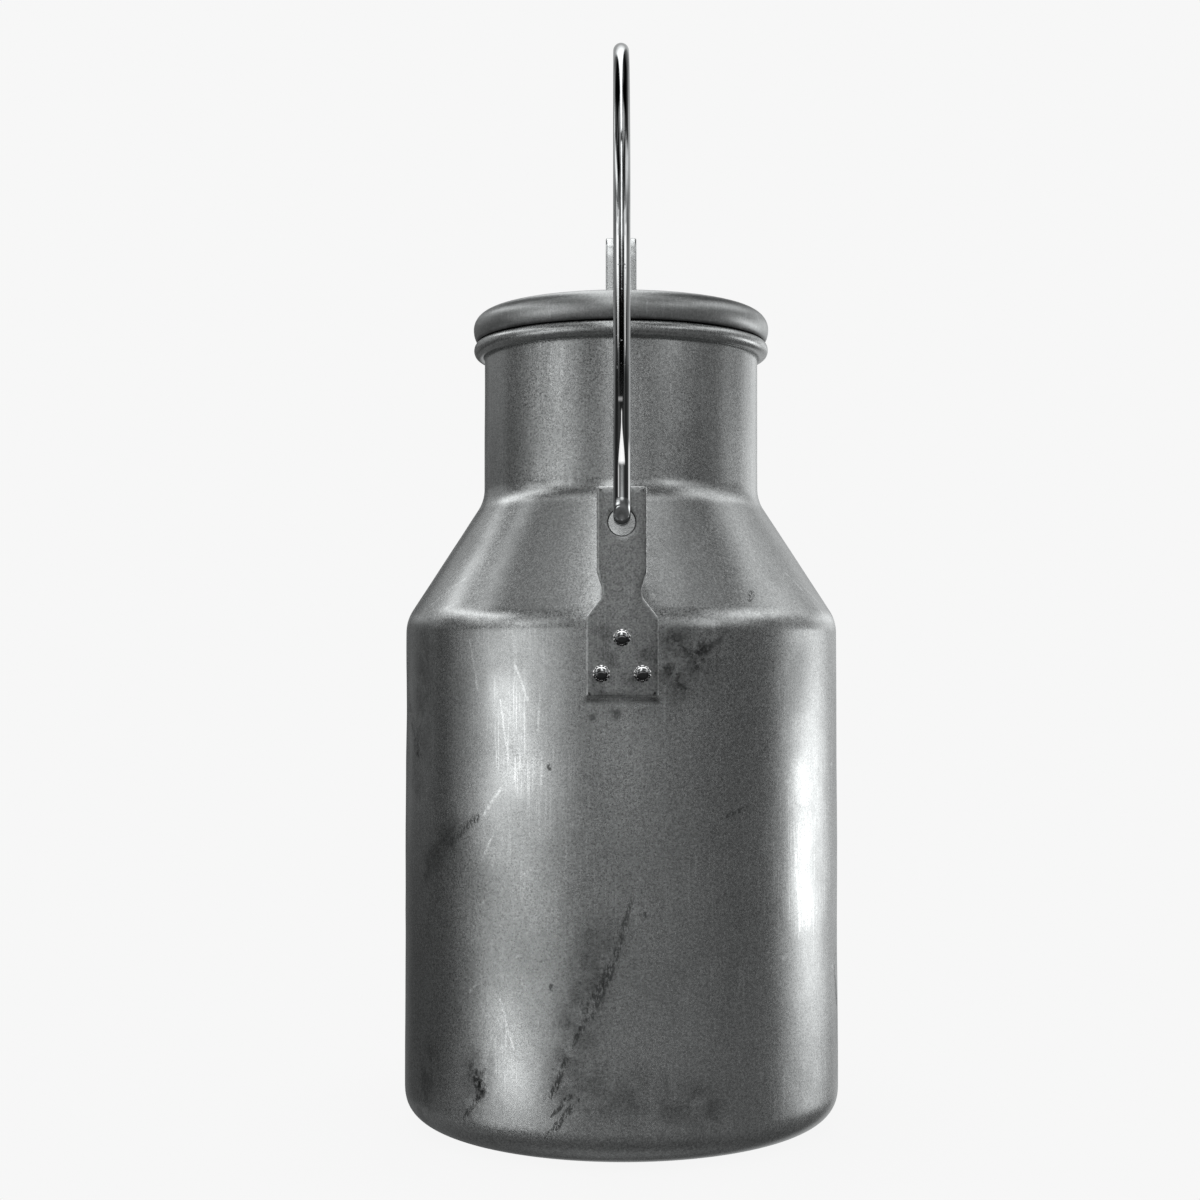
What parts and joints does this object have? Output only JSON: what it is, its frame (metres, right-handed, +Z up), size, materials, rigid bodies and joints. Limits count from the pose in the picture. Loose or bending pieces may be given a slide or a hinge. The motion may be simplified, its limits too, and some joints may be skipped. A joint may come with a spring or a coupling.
{
  "type": "milk can",
  "caption": "Aluminium milk can with a conical shoulder, straight neck, riveted ear lugs, a swinging wire bail and a sealed plug lid with a strap handle.",
  "frame": {"origin": "centre of the can's footprint, on the surface it stands on", "axes": "+Z up along the can's axis; the bail's arms and the ear lugs stand at -Y (front_lug) and +Y (rear_lug), so the bail swings about Y; left and right are as seen from the front, with +X to the right"},
  "size_m": [0.22, 0.246, 0.5466],
  "materials": {
    "body_aluminium": "worn satin, dull grey oxide film, fine grain, scuffs and dark scratches",
    "lug_aluminium": "dull pressed plate, mottled, bright broken edges",
    "lid_aluminium": "spun, worn satin",
    "plug_aluminium": "spun, clean satin",
    "strap_aluminium": "satin strap with darker rolled edges",
    "bail_chrome": "bright plated steel wire, mirror gloss, a few pits",
    "rivet_chrome": "bright plated round heads",
    "strap_rivet": "satin round heads",
    "core_steel": "plain drawn wire, hidden in the rolled bead",
    "seal_rubber": "matt black"
  },
  "bodies": {
    "can": {"can_shell": "body_aluminium", "rim_wire": "core_steel", "front_lug": "lug_aluminium", "rear_lug": "lug_aluminium", "front_lug_rivet_top": "rivet_chrome", "front_lug_rivet_left": "rivet_chrome", "front_lug_rivet_right": "rivet_chrome", "rear_lug_rivet_top": "rivet_chrome", "rear_lug_rivet_left": "rivet_chrome", "rear_lug_rivet_right": "rivet_chrome"},
    "bail": {"bail": "bail_chrome"},
    "seal": {"lid_gasket": "seal_rubber"},
    "lid": {"lid_cover": "lid_aluminium", "lid_plug": "plug_aluminium", "lid_handle": "strap_aluminium", "handle_rivet_front_left": "strap_rivet", "handle_rivet_front_right": "strap_rivet", "handle_rivet_rear_left": "strap_rivet", "handle_rivet_rear_right": "strap_rivet"}
  },
  "joints": [
    {"name": "bail_swing", "type": "hinge", "parent": "can", "child": "bail", "pos_m": [0, 0, 0.2971], "axis": [0, 1, 0], "range_deg": [-150, 150]},
    {"name": "lid_lift", "type": "slide", "parent": "can", "child": "seal", "axis": [0, 0, 1], "range_m": [0, 0.075]},
    {"name": "lid_turn", "type": "hinge", "parent": "seal", "child": "lid", "pos_m": [0, 0, 0.4], "axis": [0, 0, 1], "continuous": true}
  ]
}
